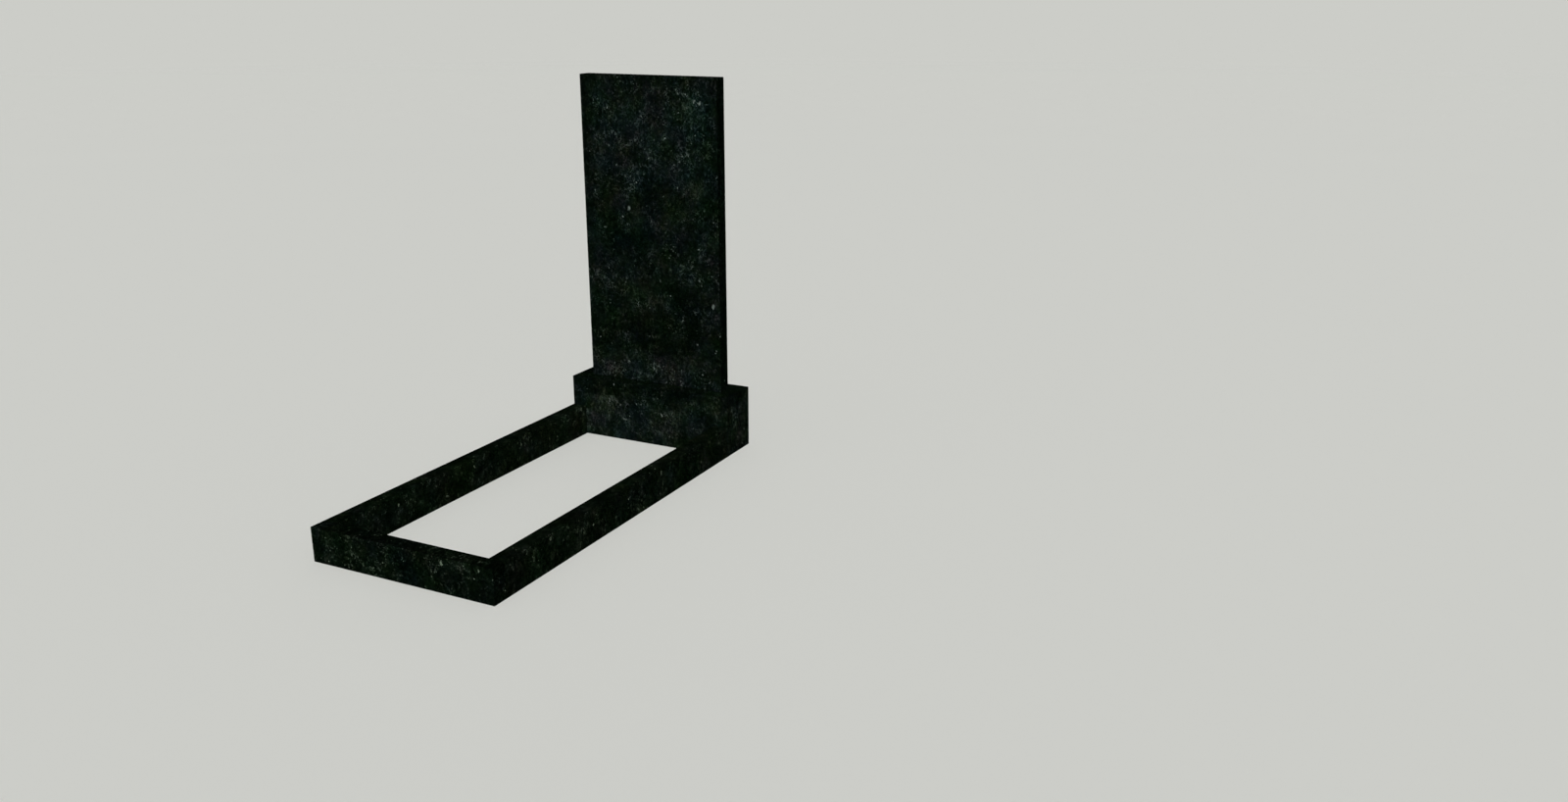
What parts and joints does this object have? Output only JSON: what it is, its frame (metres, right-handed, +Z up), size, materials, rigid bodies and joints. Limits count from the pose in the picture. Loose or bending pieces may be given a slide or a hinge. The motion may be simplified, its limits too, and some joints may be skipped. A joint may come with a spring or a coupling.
{
  "type": "upright headstone",
  "caption": "Plain rectangular upright headstone of polished black granite on a block plinth, with a low rectangular kerb running forward round an open planting bed.",
  "frame": {"origin": "centre of the whole rectangular footprint, on the ground that the plinth and the kerb stand on", "axes": "+Z up; the slab's front face looks along -Y and the kerb reaches forward along -Y; +X to the right of a person facing the front"},
  "size_m": [0.6, 1.35, 1.2003],
  "materials": {
    "stele_granite": "polished, near-black with grey-green crystals",
    "plinth_granite": "polished, near-black with grey-green crystals",
    "kerb_granite": "polished, near-black with grey-green crystals"
  },
  "bodies": {
    "root": {"stele": "stele_granite", "plinth": "plinth_granite", "kerb_front": "kerb_granite", "kerb_left": "kerb_granite", "kerb_right": "kerb_granite"}
  },
  "joints": []
}
